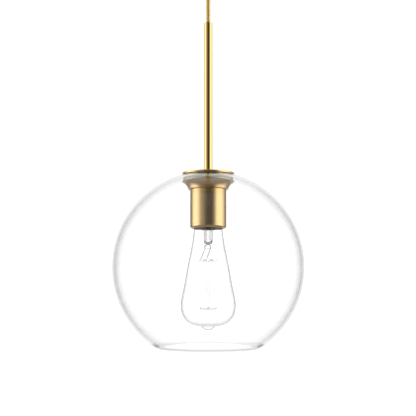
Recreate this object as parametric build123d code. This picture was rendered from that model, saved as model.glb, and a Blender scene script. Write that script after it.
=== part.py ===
from build123d import *
from math import asin, cos, pi, radians, sin, sqrt
import os

# Pendant ceiling light: a clear glass globe and a clear filament bulb, hung on a brass stem
# and a braided cord from a round ceiling canopy. Millimetres, +Z up. The origin is the centre
# of the mounting bar's ceiling face, so the whole light hangs below z = 0.

# ---- Driving dimensions -------------------------------------------------------------------

# Heights on the axis
GLOBE_Z = -340.0                     # centre of the glass sphere
STEM_TOP_Z = GLOBE_Z + 262.0
GRIP_MOUTH_Z = -40.0                 # where the cord leaves the ceiling fitting
CANOPY_DEPTH = 25.0

# Glass globe
GLOBE_R = 101.5
GLOBE_WALL = 2.8
GLOBE_HOLE_R = 21.0                  # opening round the socket's threaded neck
GLOBE_MOUTH_R = 52.9                 # open bottom

# Cord and stem
CORD_R = 2.5
CORD_BORE_R = 2.8                    # every mouth that the cord swings in
SWING_GAP = 0.3                      # between the swinging cord's round ends and its neighbours
STEM_R = 4.55
STEM_BORE_R = 3.2
STEM_THREAD_R = 4.0
STEM_END_Z = GLOBE_Z + 90.0

# Top disc, slightly dished down towards its edge
DISC_R = 27.9
DISC_TOP_Z = GLOBE_Z + 101.4
DISC_FLAT_R = 18.0                   # flat middle of the top
DISC_EDGE_Z = GLOBE_Z + 100.2        # top of the edge
DISC_SEAT_Z = GLOBE_Z + 100.4        # flat seat on the socket cup's neck
DISC_SEAT_R = 20.4
DISC_RECESS_Z = GLOBE_Z + 99.1       # underside just inside the rim
DISC_RIM_Z = GLOBE_Z + 98.2
DISC_RECESS_R = 26.6
GASKET_GAP = 0.3                     # between a gasket and the part that moves away from it
UPPER_GASKET_BORE_R = 22.0

# Socket cup and its threaded neck
NECK_R = 20.0
NECK_LOW_Z = GLOBE_Z + 84.4
CUP_R = 19.25
CUP_WALL = 1.2
CUP_LOW_Z = GLOBE_Z + 40.8
CUP_MOUTH_R = 15.6
CUP_ROUNDING = 2.6
LID_THICK = 1.5

# Flared collar, the ring that screws up under the glass
COLLAR_BORE_R = NECK_R + 0.05
COLLAR_TOP_R = 27.9
COLLAR_LOW_R = 21.2
COLLAR_LOW_Z = GLOBE_Z + 82.8
COLLAR_TOP_Z = GLOBE_Z + 91.9
COLLAR_EDGE = 0.8
COLLAR_COVE = (23.5, GLOBE_Z + 87.6)
LOWER_GASKET_R = (22.0, 26.6)

# Lampholder
HOLDER_R = 17.2
HOLDER_LOW_Z = GLOBE_Z + 46.0
HOLDER_TOP_Z = GLOBE_Z + 78.0
HOLDER_FLOOR_Z = GLOBE_Z + 70.5
HOLDER_BORE_R = 14.2
SHELL_R = 13.95
SHELL_BORE_R = 13.55
CONTACT_Z = GLOBE_Z + 68.6           # underside of the spring contact

# Bulb, 58 mm wide and 135 mm long
BULB_WALL = 0.7
BULB_TIP_Z = GLOBE_Z + 68.3
BASE_R = 13.05
BASE_WALL = 0.4
BASE_TOP_Z = GLOBE_Z + 63.5
BASE_LOW_Z = GLOBE_Z + 46.2
CAGE_R = 10.0
UPPER_BUTTON_Z = GLOBE_Z + 7.1
LOWER_BUTTON_Z = GLOBE_Z - 44.4
STRANDS = 12

# Canopy and mounting bar
CANOPY_R = 60.0
CANOPY_WALL = 1.2
BAR_SIZE = (108.0, 18.0, 2.0)
BAR_HOLE_R = 8.0
SLOT_SPACING = 88.9
SLOT_LENGTH = 12.0
SLOT_R = 2.4
STUD_X = 30.0
STUD_R = 2.0
BLOCK_X = -18.0
BLOCK_SIZE = (16.0, 20.0, 8.0)
ENTRY_Y = 4.0                        # each wire entry's distance from the bar's middle line
ENTRY_Z = -5.5
GROUND_X = 16.0
SPIGOT_R = 5.0
CORD_END_Z = -12.0                   # the sheath ends here and its three leads go on
LEAD_R = 0.8
FIT = 0.05                           # radial gap of a screw or spigot in its hole

BAR_LOW_Z = -BAR_SIZE[2]
CANOPY_LOW_Z = -CANOPY_DEPTH
CANOPY_FLOOR_Z = CANOPY_LOW_Z + CANOPY_WALL
BLOCK_LOW_Z = BAR_LOW_Z - BLOCK_SIZE[2]


# ---- Shapes used by many parts ------------------------------------------------------------

def turned(*corners):
    """A solid turned about Z from its half section's (radius, height[, rounding]) corners."""
    rounding = [corner[2] if len(corner) > 2 else 0 for corner in corners]
    outline = FilletPolyline(*[corner[:2] for corner in corners], radius=rounding, close=True)
    return revolve(make_face(Plane.XZ * outline), Axis.Z)


def ring(outer_r, inner_r, low_z, high_z):
    """A plain ring about Z."""
    return turned((inner_r, low_z), (outer_r, low_z), (outer_r, high_z), (inner_r, high_z))


def pin(radius, low_z, high_z, x=0.0, y=0.0):
    """A plain upright cylinder."""
    return Pos(x, y, (low_z + high_z) / 2) * Cylinder(radius, high_z - low_z)


def block(size, low_z, x=0.0, y=0.0):
    """A box standing on low_z."""
    return Pos(x, y, low_z + size[2] / 2) * Box(*size)


def hexagon(across_flats, low_z, high_z, bore_r, x=0.0, y=0.0):
    """A hexagon nut."""
    corner_r = across_flats / 2 / cos(pi / 6)
    nut = extrude(Pos(x, y, low_z) * RegularPolygon(corner_r, 6), high_z - low_z)
    return nut - pin(bore_r, low_z, high_z, x, y)


def straight_wire(start, end, radius):
    """A round wire from one point to another."""
    run = Line(start, end)
    return sweep(Plane(origin=run @ 0, z_dir=run % 0) * Circle(radius), path=run)


def bent_wire(points, radius, bend_r):
    """A round wire along straight runs joined by tangent arcs."""
    path = FilletPolyline(*points, radius=bend_r)
    return sweep(Plane(origin=path @ 0, z_dir=path % 0) * Circle(radius), path=path)


def slotted_screw(head_r, head_low_z, head_high_z, shank_r, shank_high_z, x, y):
    """A screw driven upwards, with a slot across the underside of its head."""
    screw = pin(head_r, head_low_z, head_high_z, x, y) + pin(shank_r, head_high_z, shank_high_z, x, y)
    slot = block((2 * head_r, 0.6, 0.6), head_low_z, x, y)
    return screw - slot


def on_sphere(sphere_r, angle):
    """The (radius, height) point of a sphere about the globe's centre, this far from straight up."""
    return (sphere_r * sin(angle), GLOBE_Z + sphere_r * cos(angle))


def globe_ball(sphere_r):
    """A solid ball about the globe's centre."""
    return Pos(0, 0, GLOBE_Z) * Sphere(sphere_r)


# ---- Ceiling fitting ----------------------------------------------------------------------

def crossbar():
    """Steel bar screwed to the ceiling box, with two long slots and a hole for the supply."""
    bar = block(BAR_SIZE, BAR_LOW_Z)
    bar -= pin(BAR_HOLE_R, BAR_LOW_Z, 0)
    for side in (-1, 1):
        slot = SlotOverall(SLOT_LENGTH, 2 * SLOT_R)
        bar -= extrude(Pos(side * SLOT_SPACING / 2, 0, BAR_LOW_Z) * slot, BAR_SIZE[2])
        bar -= pin(STUD_R + FIT, BAR_LOW_Z, 0, side * STUD_X)
    bar -= pin(1.8 + FIT, BAR_LOW_Z, 0, GROUND_X)
    return bar - pin(1.5 + FIT, BAR_LOW_Z, 0, BLOCK_X)


def ground_screw():
    """Green screw for the earth lead, driven into the bar from below."""
    return slotted_screw(3.2, BAR_LOW_Z - 3.0, BAR_LOW_Z, 1.8, -0.2, GROUND_X, 0)


def canopy_studs():
    """Two threaded rods that hold the canopy up to the bar."""
    return [pin(STUD_R, CANOPY_LOW_Z - 5.5, -0.2, side * STUD_X) for side in (-1, 1)]


def stud_nuts():
    """A nut under the bar on each stud."""
    return [
        hexagon(7.0, BAR_LOW_Z - 3.2, BAR_LOW_Z, STUD_R + FIT, side * STUD_X) for side in (-1, 1)
    ]


def canopy():
    """Spun brass cup that covers the ceiling box."""
    rounding = 3.0
    cup = turned(
        (SPIGOT_R + 0.15, CANOPY_LOW_Z),
        (CANOPY_R, CANOPY_LOW_Z, rounding),
        (CANOPY_R, 0),
        (CANOPY_R - CANOPY_WALL, 0),
        (CANOPY_R - CANOPY_WALL, CANOPY_FLOOR_Z, rounding - CANOPY_WALL),
        (SPIGOT_R + 0.15, CANOPY_FLOOR_Z),
    )
    for side in (-1, 1):
        cup -= pin(STUD_R + 0.2, CANOPY_LOW_Z, CANOPY_FLOOR_Z, side * STUD_X)
    return cup


def canopy_cap_nuts():
    """Two small domed nuts under the canopy, one on each stud."""
    dome = turned(
        (STUD_R + FIT, CANOPY_LOW_Z),
        (5.0, CANOPY_LOW_Z, 0.4),
        (5.0, CANOPY_LOW_Z - 8.0, 3.0),
        (0, CANOPY_LOW_Z - 8.0),
        (0, CANOPY_LOW_Z - 6.0),
        (STUD_R + FIT, CANOPY_LOW_Z - 6.0),
    )
    return [Pos(side * STUD_X, 0, 0) * dome for side in (-1, 1)]


GRIP_SHOULDER_Z = CANOPY_LOW_Z - 2.0
GRIP_BODY_R = 6.4
GRIP_BODY_LOW_Z = CANOPY_LOW_Z - 9.0
SPIGOT_TOP_Z = -14.0
COLLET_R = 4.2


def grip_body():
    """Brass gland through the middle of the canopy, bored for the cord and its collet."""
    return turned(
        (CORD_R + FIT, SPIGOT_TOP_Z),
        (SPIGOT_R, SPIGOT_TOP_Z),
        (SPIGOT_R, CANOPY_LOW_Z),
        (7.5, CANOPY_LOW_Z, 0.3),
        (7.5, GRIP_SHOULDER_Z, 0.3),
        (GRIP_BODY_R, GRIP_SHOULDER_Z),
        (GRIP_BODY_R, GRIP_BODY_LOW_Z),
        (COLLET_R, GRIP_BODY_LOW_Z),
        (COLLET_R, GRIP_SHOULDER_Z),
        (CORD_R + FIT, GRIP_SHOULDER_Z),
    )


def grip_washer():
    """Toothed washer inside the canopy, drawn plain."""
    return ring(8.5, SPIGOT_R + FIT, CANOPY_FLOOR_Z, CANOPY_FLOOR_Z + 0.8)


def grip_locknut():
    """Thin nut that holds the gland in the canopy."""
    return hexagon(14.0, CANOPY_FLOOR_Z + 0.8, CANOPY_FLOOR_Z + 3.8, SPIGOT_R + FIT)


def grip_collet():
    """Nylon sleeve that the cap squeezes onto the cord."""
    return ring(COLLET_R - FIT, CORD_R + FIT, GRIP_BODY_LOW_Z - 1.5, GRIP_SHOULDER_Z - FIT)


def grip_cap():
    """Brass cap on the gland, with the trumpet mouth that the cord hangs from."""
    return turned(
        (GRIP_BODY_R + FIT, GRIP_SHOULDER_Z - 1.0),
        (7.5, GRIP_SHOULDER_Z - 1.0, 0.3),
        (7.5, GRIP_MOUTH_Z, 3.0),
        (CORD_BORE_R, GRIP_MOUTH_Z, 0.5),
        (CORD_BORE_R, GRIP_BODY_LOW_Z - 1.5),
        (GRIP_BODY_R + FIT, GRIP_BODY_LOW_Z - 1.5),
    )


def terminal_block():
    """Two-way plastic block under the bar, with wire entries and clamp-screw holes."""
    body = block(BLOCK_SIZE, BLOCK_LOW_Z, BLOCK_X)
    body -= pin(1.5 + FIT, BLOCK_LOW_Z, BAR_LOW_Z, BLOCK_X)
    entry_x = BLOCK_X + BLOCK_SIZE[0] / 2 - 2.5
    entry = Pos(entry_x, 0, ENTRY_Z) * Rot(0, 90, 0) * Cylinder(LEAD_R + 0.2, 5.0)
    for y in (-ENTRY_Y, ENTRY_Y):
        body -= Pos(0, y, 0) * entry
        for x in (-ENTRY_Y, ENTRY_Y):
            body -= pin(1.3 + FIT, BLOCK_LOW_Z, ENTRY_Z - 1.4, BLOCK_X + x, y)
    return body


def terminal_screws():
    """Four clamp screws in the terminal block."""
    return [
        slotted_screw(1.3, BLOCK_LOW_Z - 0.8, BLOCK_LOW_Z, 1.3, ENTRY_Z - 1.5, BLOCK_X + x, y)
        for x in (-ENTRY_Y, ENTRY_Y)
        for y in (-ENTRY_Y, ENTRY_Y)
    ]


def block_screw():
    """Long screw that holds the terminal block under the bar."""
    return slotted_screw(2.8, BLOCK_LOW_Z - 1.6, BLOCK_LOW_Z, 1.5, -0.2, BLOCK_X, 0)


def canopy_lead(y):
    """Lead from the cord's end into one entry of the terminal block."""
    block_face_x = BLOCK_X + BLOCK_SIZE[0] / 2
    start = (-1.2, y / 4, CORD_END_Z)
    corner = (-1.2, y / 4, ENTRY_Z)
    approach = (block_face_x + 3.5, y, ENTRY_Z)
    return bent_wire([start, corner, approach, (block_face_x - 4.0, y, ENTRY_Z)], LEAD_R, 2.4)


def canopy_ground_lead():
    """Earth lead from the cord's end to the green screw."""
    end = (GROUND_X - 3.2 - FIT, 0, BAR_LOW_Z - 1.7)
    return bent_wire([(1.3, 0, CORD_END_Z), (1.3, 0, -4.5), end], LEAD_R, 4.0)


def cord_in_canopy():
    """Cord held in the gland, from the swinging part up to where its sheath ends."""
    return pin(CORD_R, GRIP_MOUTH_Z + CORD_R + SWING_GAP, CORD_END_Z)


# ---- Cord and stem ------------------------------------------------------------------------

def cord_free():
    """Hanging cord, with a round end in each mouth so that it can tilt there."""
    cord = pin(CORD_R, STEM_TOP_Z, GRIP_MOUTH_Z)
    return cord + Pos(0, 0, STEM_TOP_Z) * Sphere(CORD_R) + Pos(0, 0, GRIP_MOUTH_Z) * Sphere(CORD_R)


def cord_in_stem():
    """Cord inside the stem, down to where its sheath ends in the socket cup."""
    return pin(CORD_R, STEM_END_Z - 5.0, STEM_TOP_Z - CORD_R - SWING_GAP)


def stem_bushing():
    """Sleeve that lines the top of the stem so that the tube's edge can't cut the cord."""
    return ring(STEM_BORE_R - FIT, CORD_BORE_R, STEM_TOP_Z - 12.0, STEM_TOP_Z - 0.4)


def stem_tube():
    """Polished brass tube, turned down and threaded below the disc."""
    return turned(
        (STEM_BORE_R, STEM_TOP_Z, 0.3),
        (STEM_R, STEM_TOP_Z, 0.6),
        (STEM_R, DISC_TOP_Z),
        (STEM_THREAD_R, DISC_TOP_Z),
        (STEM_THREAD_R, STEM_END_Z),
        (STEM_BORE_R, STEM_END_Z),
    )


# ---- Globe and its clamp ------------------------------------------------------------------

def glass_globe():
    """Blown sphere, cut at the top for the neck and open at the bottom with a melted lip."""
    inner_r = GLOBE_R - GLOBE_WALL
    middle_r = GLOBE_R - GLOBE_WALL / 2
    hole = asin(GLOBE_HOLE_R / GLOBE_R)
    mouth = pi - asin(GLOBE_MOUTH_R / GLOBE_R)
    middle = (hole + mouth) / 2
    lip = on_sphere(middle_r, mouth + GLOBE_WALL / 2 / middle_r)
    outline = Curve() + [
        ThreePointArc(on_sphere(GLOBE_R, hole), on_sphere(GLOBE_R, middle), on_sphere(GLOBE_R, mouth)),
        ThreePointArc(on_sphere(GLOBE_R, mouth), lip, on_sphere(inner_r, mouth)),
        ThreePointArc(on_sphere(inner_r, mouth), on_sphere(inner_r, middle), on_sphere(inner_r, hole)),
        Line(on_sphere(inner_r, hole), on_sphere(GLOBE_R, hole)),
    ]
    return revolve(make_face(Plane.XZ * outline), Axis.Z)


def top_disc():
    """Polished brass cover disc, hollowed underneath to follow the glass."""
    return turned(
        (STEM_THREAD_R + FIT, DISC_SEAT_Z),
        (DISC_SEAT_R, DISC_SEAT_Z),
        (DISC_RECESS_R, DISC_RECESS_Z),
        (DISC_RECESS_R, DISC_RIM_Z),
        (DISC_R, DISC_RIM_Z, 0.5),
        (DISC_R, DISC_EDGE_Z, 1.0),
        (DISC_FLAT_R, DISC_TOP_Z),
        (STEM_THREAD_R + FIT, DISC_TOP_Z),
    )


def upper_gasket():
    """Thin silicone ring under the disc, shaped to the glass."""
    slope = (DISC_SEAT_Z - DISC_RECESS_Z) / (DISC_RECESS_R - DISC_SEAT_R)
    band = turned(
        (UPPER_GASKET_BORE_R, DISC_RIM_Z),
        (DISC_RECESS_R - FIT, DISC_RIM_Z),
        (DISC_RECESS_R - FIT, DISC_RECESS_Z),
        (UPPER_GASKET_BORE_R, DISC_RECESS_Z + slope * (DISC_RECESS_R - UPPER_GASKET_BORE_R)),
    )
    return band - globe_ball(GLOBE_R + GASKET_GAP)


def lower_gasket():
    """Silicone ring between the flared collar and the inside of the glass."""
    inner_r, outer_r = LOWER_GASKET_R
    band = ring(outer_r, inner_r, COLLAR_TOP_Z + GASKET_GAP, GLOBE_Z + GLOBE_R)
    return band & globe_ball(GLOBE_R - GLOBE_WALL)


def collar():
    """Flared brass ring with an inside thread, turned to clamp the glass against the disc."""
    edge_low = (COLLAR_TOP_R, COLLAR_TOP_Z - COLLAR_EDGE)
    bottom = (COLLAR_LOW_R, COLLAR_LOW_Z)
    outline = Curve() + [
        Line((COLLAR_TOP_R, COLLAR_TOP_Z), edge_low),
        ThreePointArc(edge_low, COLLAR_COVE, bottom),
        Line(bottom, (COLLAR_BORE_R, COLLAR_LOW_Z)),
        Line((COLLAR_BORE_R, COLLAR_LOW_Z), (COLLAR_BORE_R, COLLAR_TOP_Z)),
        Line((COLLAR_BORE_R, COLLAR_TOP_Z), (COLLAR_TOP_R, COLLAR_TOP_Z)),
    ]
    return revolve(make_face(Plane.XZ * outline), Axis.Z)


# ---- Socket cup and what it holds ---------------------------------------------------------

def socket_cup():
    """Satin brass cup with a threaded neck above and a rolled lip round its mouth."""
    bore_r = CUP_R - CUP_WALL
    return turned(
        (NECK_R, DISC_SEAT_Z),
        (NECK_R, NECK_LOW_Z),
        (CUP_R, NECK_LOW_Z),
        (CUP_R, CUP_LOW_Z, CUP_ROUNDING),
        (CUP_MOUTH_R, CUP_LOW_Z),
        (CUP_MOUTH_R, CUP_LOW_Z + CUP_WALL),
        (bore_r, CUP_LOW_Z + CUP_WALL, CUP_ROUNDING - CUP_WALL),
        (bore_r, DISC_SEAT_Z),
    )


def cup_lid():
    """Brass plate in the top of the neck, held up by the nut on the stem."""
    return ring(CUP_R - CUP_WALL - FIT, STEM_THREAD_R + FIT, DISC_SEAT_Z - LID_THICK, DISC_SEAT_Z)


BRACKET_TOP_Z = DISC_SEAT_Z - LID_THICK
BRACKET_THICK = 1.2
BRACKET_X = 14.4
BRACKET_WIDTH = 10.0
FOOT_LENGTH = 7.0
HOLDER_SCREW_X = 10.5
TERMINAL_Y = 9.5
NUT_TOP_Z = BRACKET_TOP_Z - BRACKET_THICK - 1.0


def bracket():
    """Steel strap under the lid, with two legs down to the lampholder."""
    strap = block((2 * BRACKET_X, BRACKET_WIDTH, BRACKET_THICK), BRACKET_TOP_Z - BRACKET_THICK)
    leg_height = BRACKET_TOP_Z - BRACKET_THICK - HOLDER_TOP_Z
    for side in (-1, 1):
        leg_x = side * (BRACKET_X - BRACKET_THICK / 2)
        strap += block((BRACKET_THICK, BRACKET_WIDTH, leg_height), HOLDER_TOP_Z, leg_x)
        foot_x = side * (BRACKET_X - FOOT_LENGTH / 2)
        strap += block((FOOT_LENGTH, BRACKET_WIDTH, BRACKET_THICK), HOLDER_TOP_Z, foot_x)
        strap -= pin(1.5 + FIT, HOLDER_TOP_Z, HOLDER_TOP_Z + BRACKET_THICK, side * HOLDER_SCREW_X)
    strap -= pin(1.25 + FIT, BRACKET_TOP_Z - BRACKET_THICK, BRACKET_TOP_Z, 10.5)
    return strap - pin(STEM_THREAD_R + FIT, BRACKET_TOP_Z - BRACKET_THICK, BRACKET_TOP_Z)


def bracket_ground_screw():
    """Green screw for the earth lead, under the strap."""
    head_top = BRACKET_TOP_Z - BRACKET_THICK
    return slotted_screw(2.2, head_top - 2.0, head_top, 1.25, BRACKET_TOP_Z - 0.1, 10.5, 0)


def stem_washer():
    """Lock washer on the stem's thread."""
    return ring(7.5, STEM_THREAD_R + FIT, NUT_TOP_Z, NUT_TOP_Z + 1.0)


def stem_nut():
    """Nut that clamps strap, lid and disc to the stem's shoulder."""
    return hexagon(13.0, NUT_TOP_Z - 3.5, NUT_TOP_Z, STEM_THREAD_R + FIT)


def cord_anchor():
    """Nylon ring clamped on the cord under the stem's end, which carries the light's weight."""
    anchor = ring(5.6, CORD_R, STEM_END_Z - 4.2, STEM_END_Z)
    return anchor - anchor_screw_solid(1.0 + FIT)


def anchor_screw_solid(radius):
    """The anchor screw's cylinder, across the ring's wall."""
    return Pos(4.05, 0, STEM_END_Z - 2.1) * Rot(0, 90, 0) * Cylinder(radius, 3.0)


def anchor_screw():
    """Small grub screw through the anchor's side."""
    return anchor_screw_solid(1.0)


def lampholder_body():
    """Glazed porcelain body with a round well for the screw shell."""
    body = turned(
        (HOLDER_BORE_R, HOLDER_LOW_Z, 0.6),
        (HOLDER_R, HOLDER_LOW_Z, 0.8),
        (HOLDER_R, HOLDER_TOP_Z, 0.8),
        (0, HOLDER_TOP_Z),
        (0, HOLDER_FLOOR_Z),
        (HOLDER_BORE_R, HOLDER_FLOOR_Z),
    )
    body -= pin(1.5 + FIT, HOLDER_FLOOR_Z, HOLDER_TOP_Z)
    for side in (-1, 1):
        body -= pin(1.5 + FIT, HOLDER_TOP_Z - 5.0, HOLDER_TOP_Z, side * HOLDER_SCREW_X)
        body -= pin(1.25 + FIT, HOLDER_TOP_Z - 3.0, HOLDER_TOP_Z, 0, side * TERMINAL_Y)
    return body


def lampholder_screws():
    """Two screws through the bracket's feet into the porcelain."""
    foot_top = HOLDER_TOP_Z + BRACKET_THICK
    screws = []
    for side in (-1, 1):
        shank = pin(1.5, HOLDER_TOP_Z - 4.8, foot_top, side * HOLDER_SCREW_X)
        head = pin(2.6, foot_top, foot_top + 1.8, side * HOLDER_SCREW_X)
        slot = block((5.2, 0.6, 0.6), foot_top + 1.2, side * HOLDER_SCREW_X)
        screws.append(shank + head - slot)
    return screws


def screw_shell():
    """Threaded shell that takes the bulb's base, drawn as a plain sleeve."""
    return ring(SHELL_R, SHELL_BORE_R, HOLDER_LOW_Z + 1.5, HOLDER_FLOOR_Z)


def centre_contact():
    """Brass rivet and springy tongue that touches the bulb's tip."""
    tongue = block((9.0, 4.0, 0.5), HOLDER_FLOOR_Z - 0.5, 2.5)
    tongue += block((0.5, 4.0, HOLDER_FLOOR_Z - CONTACT_Z), CONTACT_Z, 6.75)
    tongue += block((9.0, 4.0, 0.5), CONTACT_Z, 2.5)
    return tongue + pin(1.5, HOLDER_FLOOR_Z, HOLDER_TOP_Z)


def lampholder_terminals():
    """Two brass plates on top of the porcelain, one to each contact."""
    plates = []
    for side in (-1, 1):
        plate = block((6.0, 6.0, 0.8), HOLDER_TOP_Z, 0, side * TERMINAL_Y)
        plates.append(plate - pin(1.25 + FIT, HOLDER_TOP_Z, HOLDER_TOP_Z + 0.8, 0, side * TERMINAL_Y))
    return plates


def lampholder_terminal_screws():
    """The two terminal screws."""
    plate_top = HOLDER_TOP_Z + 0.8
    return [
        pin(1.25, HOLDER_TOP_Z - 2.8, plate_top, 0, side * TERMINAL_Y)
        + pin(2.2, plate_top, plate_top + 1.6, 0, side * TERMINAL_Y)
        for side in (-1, 1)
    ]


def cup_lead(side):
    """Lead from the cord's end down and out to one terminal screw."""
    start = (0, side * 1.2, STEM_END_Z - 5.0)
    screw_z = HOLDER_TOP_Z + 1.6
    points = [start, (0, side * 1.2, screw_z), (0, side * (TERMINAL_Y - 2.2 - FIT), screw_z)]
    return bent_wire(points, LEAD_R, 2.4)


def cup_ground_lead():
    """Earth lead from the cord's end round to the screw under the strap."""
    start = (1.4, 0, STEM_END_Z - 5.0)
    low = (1.4, 0, STEM_END_Z - 7.5)
    out = (10.5, 0, STEM_END_Z - 7.5)
    top = (10.5, 0, BRACKET_TOP_Z - BRACKET_THICK - 2.0 - FIT)
    return bent_wire([start, low, out, top], LEAD_R, 2.0)


# ---- Bulb ---------------------------------------------------------------------------------

# Outside of the glass from neck to shoulder: (radius, height above the globe's centre)
BULB_OUTLINE = [
    (12.3, 52.0),
    (12.4, 46.5),
    (14.4, 41.2),
    (16.2, 31.0),
    (18.3, 18.1),
    (22.6, -3.2),
    (26.2, -23.0),
    (29.0, -39.5),
    (27.2, -50.6),
    (20.6, -58.8),
    (10.8, -62.2),
]
NUB_R = 7.85                         # the sealed tip is part of a small ball
NUB_Z = GLOBE_Z - 59.05
NUB_HALF_ANGLE = radians(63.0)


def bulb_surface(inset):
    """Edges from neck to tip of the bulb's glass surface, moved in from its outside by inset."""
    ball_r = NUB_R - inset
    join = (ball_r * sin(NUB_HALF_ANGLE), NUB_Z - ball_r * cos(NUB_HALF_ANGLE))
    side_of_tip = (ball_r * sin(NUB_HALF_ANGLE / 2), NUB_Z - ball_r * cos(NUB_HALF_ANGLE / 2))
    last = len(BULB_OUTLINE) - 1
    side = []
    for i, (radius, height) in enumerate(BULB_OUTLINE):
        before = BULB_OUTLINE[max(i - 1, 0)]
        after = BULB_OUTLINE[min(i + 1, last)]
        along = Vector(after[0] - before[0], after[1] - before[1]).normalized()
        side.append((radius + inset * along.Y, GLOBE_Z + height - inset * along.X))
    side[0] = (side[0][0], GLOBE_Z + BULB_OUTLINE[0][1])
    return [Spline(*side, join), ThreePointArc(join, side_of_tip, (0, NUB_Z - ball_r))]


def bulb_glass():
    """Blown envelope: a narrow neck, straight flaring sides, a round shoulder and a sealed tip."""
    outside = bulb_surface(0)
    inside = bulb_surface(BULB_WALL)
    neck_end = Line(outside[0] @ 0, inside[0] @ 0)
    tip_line = Line(outside[1] @ 1, inside[1] @ 1)
    outline = Curve() + [*outside, *inside, neck_end, tip_line]
    return revolve(make_face(Plane.XZ * outline), Axis.Z)


def bulb_base_shell():
    """Screw cap of the bulb, drawn as a plain thin cup that narrows at its top."""
    return turned(
        (BASE_R, BASE_LOW_Z),
        (BASE_R, BASE_TOP_Z - 2.5, 1.0),
        (10.8, BASE_TOP_Z),
        (10.8 - BASE_WALL, BASE_TOP_Z),
        (BASE_R - BASE_WALL, BASE_TOP_Z - 2.6, 0.8),
        (BASE_R - BASE_WALL, BASE_LOW_Z),
    )


def bulb_insulator():
    """Black glass cone between the screw cap and the contact at the tip."""
    return turned(
        (0, BASE_TOP_Z - 1.5),
        (10.3, BASE_TOP_Z - 1.5),
        (10.3, BASE_TOP_Z + 0.4, 0.3),
        (4.9, BULB_TIP_Z - 2.0),
        (0, BULB_TIP_Z - 2.0),
    )


def bulb_contact():
    """Flattened solder dome at the very tip."""
    return turned((0, BULB_TIP_Z - 2.0), (4.6, BULB_TIP_Z - 2.0), (4.6, BULB_TIP_Z, 1.4), (0, BULB_TIP_Z))


FLARE_R = 4.75
FLARE_SHOULDER_Z = GLOBE_Z + 27.6
PRESS_LOW_Z = GLOBE_Z + 19.6
PRESS_SIZE = (8.0, 3.6)
EXHAUST_R = 2.1


def bulb_flare():
    """Glass flare tube, widened at the top and pressed flat round the wires at the bottom."""
    wall = 0.8
    tube = turned(
        (FLARE_R, FLARE_SHOULDER_Z),
        (FLARE_R, GLOBE_Z + 44.0, 4.0),
        (10.6, GLOBE_Z + 49.6),
        (10.6, GLOBE_Z + 49.6 + wall),
        (FLARE_R - wall, GLOBE_Z + 44.0 + wall, 3.0),
        (FLARE_R - wall, FLARE_SHOULDER_Z),
    )
    press_face = Pos(0, 0, PRESS_LOW_Z) * RectangleRounded(*PRESS_SIZE, 1.5)
    press_top = Pos(0, 0, FLARE_SHOULDER_Z - 3.0) * RectangleRounded(*PRESS_SIZE, 1.5)
    round_face = Pos(0, 0, FLARE_SHOULDER_Z) * Circle(FLARE_R)
    press = extrude(press_face, FLARE_SHOULDER_Z - 3.0 - PRESS_LOW_Z)
    return tube + press + loft([press_top.face(), round_face.face()])


def bulb_exhaust_tube():
    """Narrow glass tube inside the flare, through which the bulb was pumped out."""
    return ring(EXHAUST_R, EXHAUST_R - 0.6, FLARE_SHOULDER_Z, GLOBE_Z + 58.0)


def bulb_rod():
    """Glass rod down the middle, with a button at each end that holds the hooks."""
    rod = pin(0.6, UPPER_BUTTON_Z, PRESS_LOW_Z) + pin(1.75, LOWER_BUTTON_Z, UPPER_BUTTON_Z)
    for height, radius in ((UPPER_BUTTON_Z, 2.65), (LOWER_BUTTON_Z, 2.4)):
        rod += turned(
            (0, height - 1.4),
            (radius, height - 1.4, 1.0),
            (radius, height + 1.4, 1.0),
            (0, height + 1.4),
        )
    return rod


def bulb_lead_wires():
    """Two lead wires below the pressed glass and their two tails above it."""
    left_end = (-8.1, 5.0, UPPER_BUTTON_Z + 1.0)
    right_end = (-1.3, -9.6, UPPER_BUTTON_Z + 1.6)
    wires = [
        straight_wire((-3.3, 0, PRESS_LOW_Z - 0.3), left_end, 0.35),
        straight_wire((2.2, 0, PRESS_LOW_Z - 0.3), right_end, 0.35),
    ]
    for side in (-1, 1):
        wires.append(pin(0.3, FLARE_SHOULDER_Z, GLOBE_Z + 56.0, side * 3.0))
    return wires


def hook_ring(height, button_r, hooks, phase):
    """Thin wires that stand out from a button like spokes."""
    spokes = []
    for i in range(hooks):
        angle = radians(phase + 360 * i / hooks)
        start = ((button_r + FIT) * cos(angle), (button_r + FIT) * sin(angle), height)
        end = (CAGE_R * cos(angle), CAGE_R * sin(angle), height)
        spokes.append(straight_wire(start, end, 0.2))
    return spokes


def upper_supports():
    """Hooks in the upper button."""
    return hook_ring(UPPER_BUTTON_Z, 2.65, STRANDS // 2, 0)


def lower_supports():
    """Hooks in the lower button, set between the upper ones."""
    return hook_ring(LOWER_BUTTON_Z, 2.4, STRANDS // 2, 180 / (STRANDS // 2))


def filament():
    """Tungsten strands strung up and down between the hooks as a cage."""
    strands = []
    gap = 0.6
    for i in range(STRANDS):
        low = radians(360 * (i + 0.75) / STRANDS)
        high = radians(360 * (i + 0.25) / STRANDS)
        start = (CAGE_R * cos(low), CAGE_R * sin(low), LOWER_BUTTON_Z + gap)
        end = (CAGE_R * cos(high), CAGE_R * sin(high), UPPER_BUTTON_Z - gap)
        strands.append(straight_wire(start, end, 0.12))
    return strands


# ---- Parts --------------------------------------------------------------------------------

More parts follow.
